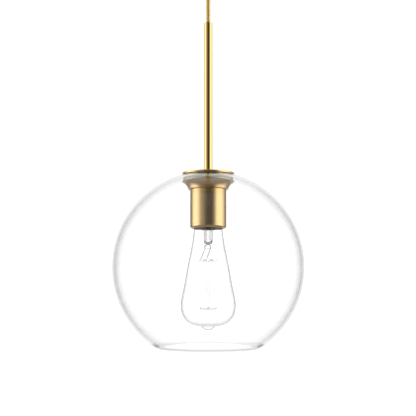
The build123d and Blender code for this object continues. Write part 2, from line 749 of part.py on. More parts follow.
PARTS = {
    "crossbar": crossbar(),
    "ground_screw": ground_screw(),
    "canopy_studs": canopy_studs(),
    "stud_nuts": stud_nuts(),
    "canopy": canopy(),
    "canopy_cap_nuts": canopy_cap_nuts(),
    "grip_body": grip_body(),
    "grip_washer": grip_washer(),
    "grip_locknut": grip_locknut(),
    "grip_collet": grip_collet(),
    "grip_cap": grip_cap(),
    "terminal_block": terminal_block(),
    "terminal_screws": terminal_screws(),
    "block_screw": block_screw(),
    "canopy_live_lead": canopy_lead(ENTRY_Y),
    "canopy_neutral_lead": canopy_lead(-ENTRY_Y),
    "canopy_ground_lead": canopy_ground_lead(),
    "cord_in_canopy": cord_in_canopy(),
    "cord_free": cord_free(),
    "cord_in_stem": cord_in_stem(),
    "stem_bushing": stem_bushing(),
    "stem_tube": stem_tube(),
    "top_disc": top_disc(),
    "upper_gasket": upper_gasket(),
    "cup_lid": cup_lid(),
    "socket_cup": socket_cup(),
    "bracket": bracket(),
    "bracket_ground_screw": bracket_ground_screw(),
    "stem_washer": stem_washer(),
    "stem_nut": stem_nut(),
    "cord_anchor": cord_anchor(),
    "anchor_screw": anchor_screw(),
    "lampholder_body": lampholder_body(),
    "lampholder_screws": lampholder_screws(),
    "screw_shell": screw_shell(),
    "centre_contact": centre_contact(),
    "lampholder_terminals": lampholder_terminals(),
    "lampholder_terminal_screws": lampholder_terminal_screws(),
    "cup_live_lead": cup_lead(1),
    "cup_neutral_lead": cup_lead(-1),
    "cup_ground_lead": cup_ground_lead(),
    "glass_globe": glass_globe(),
    "lower_gasket": lower_gasket(),
    "collar": collar(),
    "bulb_contact": bulb_contact(),
    "bulb_insulator": bulb_insulator(),
    "bulb_base_shell": bulb_base_shell(),
    "bulb_glass": bulb_glass(),
    "bulb_flare": bulb_flare(),
    "bulb_exhaust_tube": bulb_exhaust_tube(),
    "bulb_rod": bulb_rod(),
    "bulb_lead_wires": bulb_lead_wires(),
    "upper_supports": upper_supports(),
    "lower_supports": lower_supports(),
    "filament": filament(),
}

os.makedirs("parts", exist_ok=True)
for name, shape in PARTS.items():
    solid = Compound(children=shape) if isinstance(shape, list) else shape
    export_step(solid, f"parts/{name}.step")
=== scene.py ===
"""A pendant light: clear glass globe, clear filament bulb, brass stem and fittings, gold cord."""
import math

import bmesh
import bpy
import numpy as np
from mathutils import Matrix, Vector


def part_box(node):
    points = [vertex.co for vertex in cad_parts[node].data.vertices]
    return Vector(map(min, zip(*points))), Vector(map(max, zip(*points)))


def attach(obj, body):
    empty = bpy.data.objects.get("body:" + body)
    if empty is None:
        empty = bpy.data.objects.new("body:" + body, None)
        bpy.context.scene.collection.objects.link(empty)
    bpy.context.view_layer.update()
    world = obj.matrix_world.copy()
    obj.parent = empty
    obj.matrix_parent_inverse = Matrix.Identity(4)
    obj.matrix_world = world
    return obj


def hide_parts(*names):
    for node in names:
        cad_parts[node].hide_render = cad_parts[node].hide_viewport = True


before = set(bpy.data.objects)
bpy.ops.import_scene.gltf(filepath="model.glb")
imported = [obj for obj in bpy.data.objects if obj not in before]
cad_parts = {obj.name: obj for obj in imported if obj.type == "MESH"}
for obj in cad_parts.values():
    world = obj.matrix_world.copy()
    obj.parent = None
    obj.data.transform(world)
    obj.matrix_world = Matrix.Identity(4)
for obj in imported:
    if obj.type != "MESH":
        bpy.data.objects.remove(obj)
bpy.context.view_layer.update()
scene = bpy.context.scene
MM = 0.001
TURN = 2 * math.pi

# ---- Camera -------------------------------------------------------------------------------
# A long lens far off, a little below the globe and tilted up, so that the rim of the glass
# and the underside of the collar are seen and the ceiling fitting stays out of the picture.

globe_low, globe_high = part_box("glass_globe")
GLOBE_R = 101.5 * MM
GLOBE_HOLE_R = 21 * MM
GLOBE_Z = globe_high.z - math.sqrt(GLOBE_R ** 2 - GLOBE_HOLE_R ** 2)
CAMERA_LEFT = 0.25 * MM
CAMERA_BACK = 2.684
CAMERA_BELOW = 0.2716
CAMERA_TILT = math.radians(7.1)

eye = bpy.data.objects.new("camera", bpy.data.cameras.new("camera"))
scene.collection.objects.link(eye)
eye.data.sensor_width = 36
eye.data.lens = 221.2
eye.data.clip_end = 100
eye.location = (-CAMERA_LEFT, -CAMERA_BACK, GLOBE_Z - CAMERA_BELOW)
eye.rotation_euler = (math.pi / 2 + CAMERA_TILT, 0, 0)
scene.camera = eye


# ---- Cord ---------------------------------------------------------------------------------
# Five millimetre lamp cord in a sleeve of fine gold thread, braided in two directions over
# the three leads. The light's weight pulls it straight between the ceiling grip and the stem.

CORD_R = 2.5 * MM
CARRIERS = 24
BRAID_PITCH = 12 * MM
BRAID_DEPTH = 0.09 * MM
DOME_STEPS = 9


class Tap:
    """An output in a finish's node tree. Arithmetic on taps adds the Math nodes it needs."""

    def __init__(self, tree, socket=None):
        self.tree = tree
        self.socket = socket

    def node(self, kind, inputs=None, output=0, stops=None, **settings):
        """A node of this kind with its settings, ramp stops and sockets; returns one output."""
        made = self.tree.nodes.new(kind)
        for name, value in settings.items():
            setattr(made, name, value)
        for _ in (stops or [])[2:]:
            made.color_ramp.elements.new(0.5)
        for element, (place, shade) in zip(made.color_ramp.elements if stops else [], stops or []):
            element.position = place
            element.color = (*shade, 1)
        for name, value in (inputs or {}).items():
            if isinstance(value, Tap):
                self.tree.links.new(value.socket, made.inputs[name])
            else:
                made.inputs[name].default_value = value
        return Tap(self.tree, made.outputs[output] if len(made.outputs) else None)

    def maths(self, operation, first, second=0.0):
        return self.node("ShaderNodeMath", {0: first, 1: second}, operation=operation)

    def __add__(self, other):
        return self.maths("ADD", self, other)

    def __radd__(self, other):
        return self.maths("ADD", other, self)

    def __sub__(self, other):
        return self.maths("SUBTRACT", self, other)

    def __rsub__(self, other):
        return self.maths("SUBTRACT", other, self)

    def __mul__(self, other):
        return self.maths("MULTIPLY", self, other)

    def __rmul__(self, other):
        return self.maths("MULTIPLY", other, self)

    def __truediv__(self, other):
        return self.maths("DIVIDE", self, other)

    def between(self, low, high):
        """The colour this far from one colour to another."""
        sockets = {"Factor": self, "A": (*low, 1), "B": (*high, 1)}
        return self.node("ShaderNodeMix", sockets, output=2, data_type="RGBA")

    def bump(self, strength, distance, under=None):
        """A normal raised by this value, over another normal if one is given."""
        sockets = {"Height": self, "Strength": strength, "Distance": distance}
        if under:
            sockets["Normal"] = under
        return self.node("ShaderNodeBump", sockets)


def finish(name):
    """A new material with an empty node tree, and a tap on that tree."""
    made = bpy.data.materials.new(name)
    made.use_nodes = True
    made.node_tree.nodes.clear()
    return made, Tap(made.node_tree)


def shade(made, tap, sockets, volume=None):
    """Joins a Principled shader with these sockets, and any volume, to the output."""
    joined = {"Surface": tap.node("ShaderNodeBsdfPrincipled", sockets)}
    if volume:
        joined["Volume"] = volume
    tap.node("ShaderNodeOutputMaterial", joined)
    return made


def grain(tap, scale, stretch=(1, 1, 1), detail=3.0):
    """Noise on the piece's own coordinates, in metres, stretched along an axis."""
    place = tap.node("ShaderNodeTexCoord", output=3)
    stretched = tap.node("ShaderNodeMapping", {"Vector": place, "Scale": stretch})
    return tap.node("ShaderNodeTexNoise", {"Vector": stretched, "Scale": scale, "Detail": detail})


def add_piece(name, points, faces, body, material, sharp=40):
    """A closed mesh from arrays, its doubles merged, loose edges dropped and faces outwards."""
    mesh = bpy.data.meshes.new(name)
    mesh.from_pydata(points.reshape(-1, 3), [], faces)
    work = bmesh.new()
    work.from_mesh(mesh)
    bmesh.ops.remove_doubles(work, verts=work.verts, dist=1e-7)
    stray = [edge for edge in work.edges if not edge.link_faces]
    bmesh.ops.delete(work, geom=stray, context="EDGES")
    bmesh.ops.recalc_face_normals(work, faces=work.faces)
    work.to_mesh(mesh)
    work.free()
    mesh.polygons.foreach_set("use_smooth", np.ones(len(mesh.polygons), bool))
    mesh.set_sharp_from_angle(angle=math.radians(sharp))
    mesh.materials.append(material)
    piece = bpy.data.objects.new(name, mesh)
    scene.collection.objects.link(piece)
    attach(piece, body)
    return piece


def grid_faces(rows, columns, row_loop=False, column_loop=False):
    """Quads over a grid of points, closed round along either side if asked."""
    r, c = np.meshgrid(
        np.arange(rows - (not row_loop)), np.arange(columns - (not column_loop)), indexing="ij"
    )
    r2, c2 = (r + 1) % rows, (c + 1) % columns
    corners = [r * columns + c, r2 * columns + c, r2 * columns + c2, r * columns + c2]
    return np.stack(corners, -1).reshape(-1, 4)


def braided_tube(path, around):
    """Rings of a braided tube along a near-upright path. The radius falls between the threads
    of two opposite helices, and whichever helix is on top at that place stands higher."""
    angle, step = np.meshgrid(
        np.linspace(0, TURN, around, endpoint=False), np.arange(len(path)), indexing="xy"
    )
    x, y, z = (path[step, axis] for axis in range(3))
    one = (angle + TURN * z / BRAID_PITCH) * CARRIERS / 4
    two = (angle - TURN * z / BRAID_PITCH) * CARRIERS / 4
    top = 0.5 + 0.5 * np.sin(one * 2) * np.sin(two * 2)
    ridge = np.maximum(
        np.abs(np.cos(one)) * (0.6 + 0.4 * top), np.abs(np.cos(two)) * (1 - 0.4 * top)
    )
    radius = CORD_R - BRAID_DEPTH * (1 - ridge)
    return np.stack([x + radius * np.cos(angle), y + radius * np.sin(angle), z], -1)


cord_low, cord_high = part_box("cord_free")
GRIP_MOUTH_Z = cord_high.z - CORD_R
STEM_TOP_Z = cord_low.z + CORD_R
ROUTE = [
    (0, 0, GRIP_MOUTH_Z),
    (0.08 * MM, 0.03 * MM, GRIP_MOUTH_Z - 10 * MM),
    (-0.10 * MM, -0.04 * MM, GRIP_MOUTH_Z - 20 * MM),
    (0.07 * MM, 0.03 * MM, GRIP_MOUTH_Z - 29 * MM),
    (0, 0, STEM_TOP_Z),
]
line = bpy.data.curves.new("cord_line", "CURVE")
line.dimensions = "3D"
spline = line.splines.new("NURBS")
spline.points.add(len(ROUTE) - 1)
spline.points.foreach_set("co", np.array([(*point, 1) for point in ROUTE]).ravel())
spline.order_u = 3
spline.use_endpoint_u = True
spline.resolution_u = 90
holder = bpy.data.objects.new("cord_line", line)
scene.collection.objects.link(holder)
drawn = bpy.data.meshes.new_from_object(holder)
path = np.zeros(len(drawn.vertices) * 3)
drawn.vertices.foreach_get("co", path)
path = path.reshape(-1, 3)
bpy.data.objects.remove(holder)

gold_braid, tap = finish("gold_braid")
fleck = grain(tap, 700, (1, 1, 0.4))
shade(gold_braid, tap, {
    "Base Color": fleck.between((0.60, 0.40, 0.13), (0.82, 0.62, 0.30)),
    "Metallic": 0.85,
    "Roughness": 0.34 + fleck * 0.14,
    "Normal": grain(tap, 4200).bump(0.3, 0.00004),
})

CORD_SIDES = 144
rings = braided_tube(path, CORD_SIDES)
tilt = np.linspace(0, math.pi / 2, DOME_STEPS)[1:, None, None]


def dome(ring, way):
    """Rings of a hemisphere that closes the tube's end, shrinking as they rise or fall."""
    centre = np.array([0, 0, ring[0, 2]])
    return centre + (ring - centre) * np.cos(tilt) + np.array([0, 0, way * CORD_R]) * np.sin(tilt)


cord_rings = np.concatenate([dome(rings[0], 1)[::-1], rings, dome(rings[-1], -1)])
cord = add_piece(
    "cord_sleeve", cord_rings, grid_faces(len(cord_rings), CORD_SIDES, column_loop=True),
    "cord", gold_braid, sharp=80,
)
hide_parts("cord_free")


def give(material, *nodes):
    """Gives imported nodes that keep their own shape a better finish."""
    for node in nodes:
        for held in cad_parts[node].material_slots:
            held.material = material


give(gold_braid, "cord_in_stem", "cord_in_canopy")


# ---- Stem ---------------------------------------------------------------------------------
# Drawn brass tube, polished and lacquered, with a broken edge round its open top. Its lower
# end is turned down and threaded, and goes through the disc into the socket cup.

def section(*corners, steps=8):
    """A closed half section from (radius, height, rounding) corners. A rounding is an arc that
    touches both sides, and each straight side gets a point close to each end."""
    places = [np.array(corner[:2], float) for corner in corners]
    outline = []
    for i, corner in enumerate(corners):
        here = places[i]
        to_last, to_next = places[i - 1] - here, places[(i + 1) % len(places)] - here
        shorter = min(np.hypot(*to_last), np.hypot(*to_next))
        to_last, to_next = to_last / np.hypot(*to_last), to_next / np.hypot(*to_next)
        hold = min(0.12 * MM, 0.1 * shorter)
        if len(corner) < 3:
            outline += [here + to_last * hold, here, here + to_next * hold]
            continue
        half = math.acos(np.clip(to_last @ to_next, -1, 1)) / 2
        reach = corner[2] / math.tan(half)
        inward = (to_last + to_next) / np.hypot(*(to_last + to_next))
        centre = here + inward * corner[2] / math.sin(half)
        first, last = here + to_last * reach - centre, here + to_next * reach - centre
        sweep = math.pi - 2 * half
        turned = (last - first * math.cos(sweep)) / math.sin(sweep)
        t = np.linspace(0, sweep, steps)[:, None]
        outline.append(here + to_last * (reach + hold))
        outline += list(centre + first * np.cos(t) + turned * np.sin(t))
        outline.append(here + to_next * (reach + hold))
    return np.array(outline)


def finer(outline, low, high, step):
    """The same outline with points every step along its sides between two heights."""
    dense = []
    slack = 0.01 * MM
    for here, after in zip(outline, np.roll(outline, -1, axis=0)):
        dense.append(here)
        length = np.hypot(*(after - here))
        inside = low - slack <= min(here[1], after[1]) and max(here[1], after[1]) <= high + slack
        if inside and length > step:
            part = np.linspace(0, 1, int(length / step) + 1)[1:-1, None]
            dense += list(here + (after - here) * part)
    return np.array(dense)


def spun(name, outline, body, material, nodes=(), around=144, wave=None, sharp=40, x=0.0):
    """A solid turned about an upright axis at x: a closed half section carried round it. A wave
    adds to the radius, as a function of angle, radius and height."""
    angle = np.linspace(0, TURN, around, endpoint=False)[:, None]
    radius = outline[None, :, 0] + 0 * angle
    height = outline[None, :, 1] + 0 * angle
    if wave:
        radius = radius + wave(angle, radius, height)
    points = np.stack([x + radius * np.cos(angle), radius * np.sin(angle), height], -1)
    faces = grid_faces(around, len(outline), row_loop=True, column_loop=True)
    piece = add_piece(name, points, faces, body, material, sharp)
    if nodes:
        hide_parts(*nodes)
    return piece


def screw_thread(pitch, depth, near, spread, phase=0.0):
    """A right-hand thread as a wave: a cosine of height less angle, cut into radii near one."""
    def wave(angle, radius, height):
        swing = 0.5 - 0.5 * np.cos(TURN * height / pitch - angle + phase)
        return np.where(np.abs(radius - near) < spread, -depth * swing, 0)
    return wave


polished_brass, tap = finish("polished_brass")
haze = grain(tap, 55, (1, 1, 0.25))
lines = grain(tap, 26, (30, 30, 1), 2.0)
shade(polished_brass, tap, {
    "Base Color": haze.between((0.80, 0.54, 0.18), (0.86, 0.59, 0.22)),
    "Metallic": 1.0,
    "Roughness": 0.09 + haze * 0.05,
    "Coat Weight": 0.75 + haze * 0.15,
    "Coat Roughness": 0.08,
    "Normal": lines.bump(0.015, 0.00006),
})

STEM_R = 4.55 * MM
STEM_BORE_R = 3.2 * MM
STEM_THREAD_R = 4.0 * MM
STEM_THREAD_PITCH = 1.0 * MM
stem_low, stem_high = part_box("stem_tube")
disc_low, disc_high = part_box("top_disc")
stem_outline = section(
    (STEM_BORE_R, stem_high.z, 0.3 * MM),
    (STEM_R, stem_high.z, 0.6 * MM),
    (STEM_R, disc_high.z),
    (STEM_THREAD_R, disc_high.z),
    (STEM_THREAD_R, stem_low.z),
    (STEM_BORE_R, stem_low.z),
)
stem_outline = finer(stem_outline, stem_low.z + 0.2 * MM, disc_high.z - 0.1 * MM, 0.12 * MM)
spun(
    "stem", stem_outline, "pendant", polished_brass, ["stem_tube"], around=96,
    wave=screw_thread(STEM_THREAD_PITCH, 0.35 * MM, STEM_THREAD_R, 0.02 * MM),
)

white_nylon, tap = finish("white_nylon")
mottle = grain(tap, 160)
shade(white_nylon, tap, {
    "Base Color": mottle.between((0.80, 0.78, 0.72), (0.88, 0.87, 0.82)),
    "Roughness": 0.42 + mottle * 0.12,
    "Subsurface Weight": 0.1,
    "Subsurface Scale": 0.002,
    "Normal": grain(tap, 2600).bump(0.15, 0.00005),
})
give(white_nylon, "stem_bushing")


# ---- Top disc -----------------------------------------------------------------------------
# Turned brass disc, polished, that lies on the glass and hides the opening. It is dished down
# towards a rounded edge, and hollowed underneath for a silicone ring moulded to the glass.

DISC_R = 27.9 * MM
DISC_RECESS_R = 26.6 * MM
spun(
    "disc",
    section(
        (STEM_THREAD_R + 0.05 * MM, GLOBE_Z + 100.4 * MM),
        (20.4 * MM, GLOBE_Z + 100.4 * MM),
        (DISC_RECESS_R, GLOBE_Z + 99.1 * MM),
        (DISC_RECESS_R, disc_low.z),
        (DISC_R, disc_low.z, 0.5 * MM),
        (DISC_R, GLOBE_Z + 100.2 * MM, 1.0 * MM),
        (18.0 * MM, disc_high.z),
        (STEM_THREAD_R + 0.05 * MM, disc_high.z),
        steps=12,
    ),
    "pendant", polished_brass, ["top_disc"], around=256, sharp=35,
)

silicone, tap = finish("silicone")
cloud = grain(tap, 220)
shade(silicone, tap, {
    "Base Color": cloud.between((0.80, 0.83, 0.80), (0.90, 0.92, 0.90)),
    "Roughness": 0.35 + cloud * 0.2,
    "IOR": 1.41,
    "Transmission Weight": 0.6,
    "Normal": grain(tap, 1800).bump(0.1, 0.00005),
})
give(silicone, "upper_gasket", "lower_gasket")


# ---- Globe --------------------------------------------------------------------------------
# Clear blown glass, nearly three millimetres thick. The top is ground open for the neck, and
# the wide mouth at the bottom has a lip melted round by the flame, which leaves it a little
# uneven. The faint green is the glass's own and deepens with thickness; where the wall is
# looked at edge on, a painted grey-green shade darkens it further.

GLOBE_WALL = 2.8 * MM
GLOBE_MOUTH_R = 52.9 * MM
GLASS_TINT = (0.50, 0.68, 0.52)
GLASS_DENSITY = 3.5
GLASS_BEND = 1.3
# Painted grey-green shade that darkens the globe's wall where it is seen edge on.
GLASS_EDGE_SHADE = (0.45, 0.53, 0.45)
# Painted lightening: the lip is made partly see-through so its dark line is weaker, fading out over
# this height.
LIP_FADE = 5 * MM
LIP_SEE_THROUGH = 0.88


def clear_glass_finish(name, tint, density, ripple, bend, edge, fall=2.0, lip_z=None):
    """Smooth clear glass with a slight ripple and a tint that deepens with thickness. The edge
    colour is painted shade that darkens a wall where it is looked at along its surface, and a
    higher power fall keeps it to a thinner line. From lip_z up over LIP_FADE the glass is made
    partly see-through, more so than the wall above, a painted lightening of the lip's dark line."""
    made, tap = finish(name)
    solid = 1.0
    if lip_z is not None:
        place = tap.node("ShaderNodeTexCoord", output=3)
        height = tap.node("ShaderNodeSeparateXYZ", {0: place}, output=2)
        # Painted lightening: the glass turns partly see-through towards the lip, weakening its dark
        # line.
        lip_see_through = tap.node("ShaderNodeMapRange", {
            "Value": height, "From Min": lip_z, "From Max": lip_z + LIP_FADE,
            "To Min": LIP_SEE_THROUGH, "To Max": 0.0,
        })
        solid = 1 - lip_see_through
    depth = tap.node("ShaderNodeVolumeAbsorption", {"Color": (*tint, 1), "Density": density})
    # Painted shade: the base colour goes from white to the edge colour where the wall is seen edge
    # on.
    slant = tap.node("ShaderNodeLayerWeight", {"Blend": 0.5}, output="Facing")
    return shade(made, tap, {
        "Base Color": tap.maths("POWER", slant, fall).between((1, 1, 1), edge),
        "Roughness": 0.0,
        "IOR": bend,
        "Alpha": solid,
        "Transmission Weight": 1.0,
        "Normal": grain(tap, 14, detail=1.0).bump(ripple, 0.002),
    }, depth)


clear_glass = clear_glass_finish(
    "clear_glass", GLASS_TINT, GLASS_DENSITY, 0.01, GLASS_BEND, GLASS_EDGE_SHADE, fall=10.0,
    lip_z=globe_low.z,
)
hole = math.asin(GLOBE_HOLE_R / GLOBE_R)
mouth = math.pi - math.asin(GLOBE_MOUTH_R / GLOBE_R)


def arc(radius, start, end, steps):
    """Points of a circle about the globe's centre between two angles from straight up."""
    sweep = np.linspace(start, end, steps)
    return np.stack([radius * np.sin(sweep), GLOBE_Z + radius * np.cos(sweep)], -1)


outer = arc(GLOBE_R, hole, mouth, 150)
inner = arc(GLOBE_R - GLOBE_WALL, mouth, hole, 150)
across = (outer[-1] - inner[0]) / 2
onward = np.array([across[1], -across[0]])
turn = np.linspace(0, math.pi, 13)[1:-1, None]
lip = (outer[-1] + inner[0]) / 2 + np.cos(turn) * across + np.sin(turn) * onward


def uneven_lip(angle, radius, height):
    """Slow waves round the mouth that fade out within nine millimetres of height."""
    near = np.clip(1 - (height - globe_low.z) / (9 * MM), 0, 1) ** 2
    return near * 0.14 * MM * (np.sin(3 * angle + 0.6) + 0.7 * np.sin(7 * angle + 2.1))


spun(
    "globe", np.concatenate([outer, lip, inner]), "globe", clear_glass,
    ["glass_globe"], around=192, wave=uneven_lip, sharp=50,
)


# ---- Flared collar ------------------------------------------------------------------------
# Brass ring turned with a hollow cove from a thin upper edge down to the socket cup, satin
# brushed round and lacquered. Its inside thread runs on the cup's neck and clamps the glass.

satin_brass, tap = finish("satin_brass")
haze = grain(tap, 70, (1, 1, 0.5))
brush = grain(tap, 40, (1, 1, 60), 4.0)
shade(satin_brass, tap, {
    "Base Color": haze.between((0.73, 0.49, 0.22), (0.79, 0.535, 0.25)),
    "Metallic": 1.0,
    "Roughness": 0.19 + haze * 0.04 + brush * 0.05,
    "Coat Weight": 0.45 + haze * 0.15,
    "Coat Roughness": 0.2,
    "Normal": brush.bump(0.05, 0.00004),
})

NECK_THREAD_PITCH = 2.0 * MM
collar_low, collar_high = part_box("collar")
COLLAR_BORE_R = 20.05 * MM
COLLAR_TOP_R = 27.9 * MM
COLLAR_LOW_R = 21.2 * MM
COVE = np.array([23.5 * MM, GLOBE_Z + 87.6 * MM])


def arc_through(start, middle, end, steps):
    """Points of the circle through three points, from the first to the last."""
    a, b = np.array([middle - start, end - middle]), np.array([start + middle, middle + end]) / 2
    centre = np.linalg.solve(a, (a * b).sum(1))
    angles = np.unwrap([math.atan2(*(p - centre)[::-1]) for p in (start, middle, end)])
    t = np.linspace(angles[0], angles[2], steps)
    return centre + np.hypot(*(start - centre)) * np.stack([np.cos(t), np.sin(t)], -1)


EDGE = 0.8 * MM
cove = arc_through(
    np.array([COLLAR_TOP_R, collar_high.z - EDGE]), COVE, np.array([COLLAR_LOW_R, collar_low.z]), 40
)
rounded_edge = np.array([
    (COLLAR_TOP_R - 0.15 * MM, collar_high.z), (COLLAR_TOP_R, collar_high.z - 0.15 * MM),
])
bore = np.stack([
    np.full(80, COLLAR_BORE_R), np.linspace(collar_low.z, collar_high.z, 80)
], -1)
spun(
    "collar", np.concatenate([rounded_edge, cove, bore]), "collar", satin_brass,
    ["collar"], around=220, sharp=32,
    wave=screw_thread(NECK_THREAD_PITCH, 0.5 * MM, COLLAR_BORE_R, 0.02 * MM),
)


# ---- Socket cup ---------------------------------------------------------------------------
# Drawn brass cup, satin brushed round, with a threaded neck for the collar above, a narrow
# groove below it, and a lip rolled in round its mouth. A brass plate closes the neck and hangs
# from the nut on the stem.

CUP_R = 19.25 * MM
CUP_WALL = 1.2 * MM
CUP_MOUTH_R = 15.6 * MM
CUP_ROUNDING = 2.6 * MM
NECK_R = 20.0 * MM
NECK_LOW_Z = GLOBE_Z + 84.4 * MM
cup_low, cup_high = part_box("socket_cup")
NEAR_GROOVE = np.arange(0.9, -2.2, -0.15) * MM
cup_outline = section(
    (NECK_R, cup_high.z, 0.2 * MM),
    (NECK_R, NECK_LOW_Z, 0.2 * MM),
    (CUP_R, NECK_LOW_Z),
    *[(CUP_R, collar_low.z + offset) for offset in NEAR_GROOVE],
    (CUP_R, cup_low.z, CUP_ROUNDING),
    (CUP_MOUTH_R, cup_low.z, 0.3 * MM),
    (CUP_MOUTH_R, cup_low.z + CUP_WALL, 0.3 * MM),
    (CUP_R - CUP_WALL, cup_low.z + CUP_WALL, CUP_ROUNDING - CUP_WALL),
    (CUP_R - CUP_WALL, cup_high.z),
    steps=12,
)
GROOVE_Z = collar_low.z - 0.45 * MM
GROOVE_DEPTH = 0.4 * MM
GROOVE_WIDTH = 0.35 * MM
neck_thread = screw_thread(NECK_THREAD_PITCH, 0.5 * MM, NECK_R, 0.02 * MM)


def thread_and_groove(angle, radius, height):
    """The neck's thread, and a narrow bell-shaped groove turned in the cup below the collar."""
    groove = GROOVE_DEPTH * np.exp(-((height - GROOVE_Z) / GROOVE_WIDTH) ** 2)
    outside = np.abs(radius - CUP_R) < 0.02 * MM
    return neck_thread(angle, radius, height) - np.where(outside, groove, 0)


cup_outline = finer(cup_outline, NECK_LOW_Z + 0.1 * MM, cup_high.z, 0.2 * MM)
spun(
    "cup", cup_outline, "pendant", satin_brass, ["socket_cup"], around=220, sharp=35,
    wave=thread_and_groove,
)
give(satin_brass, "cup_lid")


# ---- Lampholder ---------------------------------------------------------------------------
# Glazed porcelain body hung from a steel strap by two screws. A thin rolled shell in its well
# takes the bulb, and a brass tongue at the top of the well presses on the bulb's tip.

zinc_steel, tap = finish("zinc_steel")
spangle = grain(tap, 420, detail=2.0)
shade(zinc_steel, tap, {
    "Base Color": spangle.between((0.52, 0.53, 0.54), (0.68, 0.69, 0.70)),
    "Metallic": 1.0,
    "Roughness": 0.28 + spangle * 0.16,
    "Normal": grain(tap, 3000).bump(0.1, 0.00003),
})
green_screw, tap = finish("green_screw")
worn = grain(tap, 700)
shade(green_screw, tap, {
    "Base Color": worn.between((0.04, 0.22, 0.08), (0.09, 0.36, 0.15)),
    "Metallic": 0.6,
    "Roughness": 0.3 + worn * 0.15,
    "Normal": worn.bump(0.1, 0.00003),
})
porcelain, tap = finish("porcelain")
body_tone = grain(tap, 90)
specks = tap.node("ShaderNodeValToRGB", {"Fac": grain(tap, 1500)}, stops=[
    (0.70, (1, 1, 1)), (0.76, (0.72, 0.68, 0.62)),
])
warm = body_tone.between((0.76, 0.74, 0.69), (0.84, 0.83, 0.79))
speckled = tap.node(
    "ShaderNodeMix", {"Factor": 0.35, "A": warm, "B": specks}, output=2,
    data_type="RGBA", blend_type="MULTIPLY",
)
shade(porcelain, tap, {
    "Base Color": speckled,
    "Roughness": 0.12 + body_tone * 0.1,
    "Coat Weight": 0.4 + body_tone * 0.2,
    "Coat Roughness": 0.04,
    "Normal": grain(tap, 240).bump(0.1, 0.0002),
})
nickel_shell, tap = finish("nickel_shell")
rolled = grain(tap, 120, (1, 1, 20))
shade(nickel_shell, tap, {
    "Base Color": rolled.between((0.60, 0.59, 0.56), (0.72, 0.71, 0.68)),
    "Metallic": 1.0,
    "Roughness": 0.22 + rolled * 0.14,
    "Normal": rolled.bump(0.08, 0.00004),
})
rolled_brass, tap = finish("rolled_brass")
tarnish = grain(tap, 180)
shade(rolled_brass, tap, {
    "Base Color": tarnish.between((0.60, 0.42, 0.18), (0.78, 0.58, 0.28)),
    "Metallic": 1.0,
    "Roughness": 0.24 + tarnish * 0.18,
    "Normal": grain(tap, 900).bump(0.08, 0.00004),
})
give(zinc_steel, "bracket", "stem_washer", "stem_nut", "anchor_screw", "lampholder_screws",
     "lampholder_terminal_screws")
give(green_screw, "bracket_ground_screw")
give(white_nylon, "cord_anchor")
give(porcelain, "lampholder_body")
give(rolled_brass, "centre_contact", "lampholder_terminals")

LAMP_PITCH = 3.629 * MM
KNUCKLE = 0.28 * MM
shell_low, shell_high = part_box("screw_shell")
SHELL_R = 13.95 * MM
SHELL_WALL = 0.35 * MM


def knuckles(low, high, fade):
    """The lamp thread as a wave: both faces of the thin wall swing together with the cosine of
    height less angle, and it dies out over a short height at each end."""
    def wave(angle, radius, height):
        end = np.clip(np.minimum(height - low, high - height) / fade, 0, 1)
        return end * (KNUCKLE * np.cos(TURN * height / LAMP_PITCH - angle) - KNUCKLE)
    return wave


shell_outline = section(
    (SHELL_R - SHELL_WALL, shell_low.z),
    (SHELL_R, shell_low.z),
    (SHELL_R, shell_high.z),
    (SHELL_R - SHELL_WALL, shell_high.z),
)
spun(
    "lamp_shell", finer(shell_outline, shell_low.z, shell_high.z, 0.25 * MM), "pendant",
    nickel_shell, ["screw_shell"], around=160, sharp=60,
    wave=knuckles(shell_low.z, shell_high.z, 2 * MM),
)


# ---- Bulb cap -----------------------------------------------------------------------------
# Thin brass cap rolled with the same coarse thread, a black glass insulator above it, and a
# soldered contact at the tip. The cap is cemented on the neck of the envelope.

black_insulator, tap = finish("black_insulator")
streak = grain(tap, 300)
shade(black_insulator, tap, {
    "Base Color": streak.between((0.012, 0.012, 0.014), (0.03, 0.03, 0.034)),
    "Roughness": 0.08 + streak * 0.12,
    "Normal": grain(tap, 600).bump(0.1, 0.0001),
})
solder, tap = finish("solder")
dull = grain(tap, 900)
shade(solder, tap, {
    "Base Color": dull.between((0.46, 0.46, 0.45), (0.66, 0.66, 0.64)),
    "Metallic": 1.0,
    "Roughness": 0.3 + dull * 0.25,
    "Normal": dull.bump(0.2, 0.0001),
})
give(black_insulator, "bulb_insulator")
give(solder, "bulb_contact")

CAP_R = 13.05 * MM
CAP_WALL = 0.4 * MM
CAP_NECK_R = 10.8 * MM
cap_low, cap_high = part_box("bulb_base_shell")
cap_outline = section(
    (CAP_R - CAP_WALL, cap_low.z),
    (CAP_R, cap_low.z),
    (CAP_R, cap_high.z - 2.5 * MM, 1.0 * MM),
    (CAP_NECK_R, cap_high.z),
    (CAP_NECK_R - CAP_WALL, cap_high.z),
    (CAP_R - CAP_WALL, cap_high.z - 2.6 * MM, 0.8 * MM),
)
spun(
    "bulb_cap", finer(cap_outline, cap_low.z, cap_high.z - 3.2 * MM, 0.25 * MM), "bulb",
    rolled_brass, ["bulb_base_shell"], around=160, sharp=60,
    wave=knuckles(cap_low.z + 1.0 * MM, cap_high.z - 3.0 * MM, 2 * MM),
)


# ---- Bulb envelope ------------------------------------------------------------------------
# Blown glass less than a millimetre thick: a narrow neck, long straight sides that flare out
# to a round shoulder, and a small sealed tip left where the mould closed.

